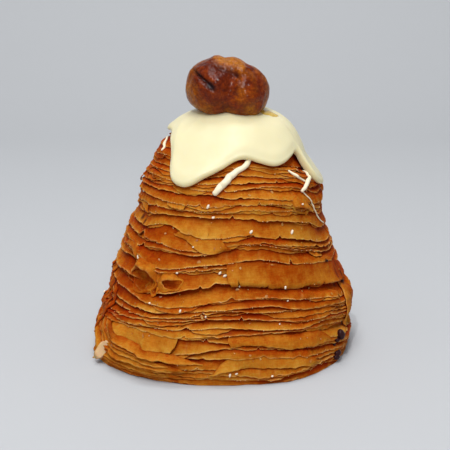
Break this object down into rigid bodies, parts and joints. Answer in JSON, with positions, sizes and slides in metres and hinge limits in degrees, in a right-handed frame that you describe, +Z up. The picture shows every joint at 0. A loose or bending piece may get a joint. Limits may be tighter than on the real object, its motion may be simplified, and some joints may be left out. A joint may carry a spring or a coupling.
{
  "type": "sfogliatella pastry",
  "caption": "Bell-shaped flaky pastry standing on its wide end, with spiral ridges down its wall, an icing cap that runs in drips, and a candied chestnut on top.",
  "frame": {"origin": "middle of the bounding box's bottom, on the surface the pastry stands on", "axes": "+Z up from the flat base to the chestnut; -Y is the front, where the long thread of icing lies; +X is to the right of someone facing the front"},
  "size_m": [0.0894, 0.0896, 0.0993],
  "materials": {
    "pastry": "dry baked dough in thin flaky layers, ochre brown, matte with a faint sheen of fat",
    "icing": "smooth set icing, pale cream, soft gloss",
    "chestnut": "candied chestnut in syrup, dark red-brown with amber edges, wet gloss"
  },
  "bodies": {
    "root": {"pastry": "pastry", "icing": "icing", "chestnut": "chestnut"}
  },
  "joints": []
}
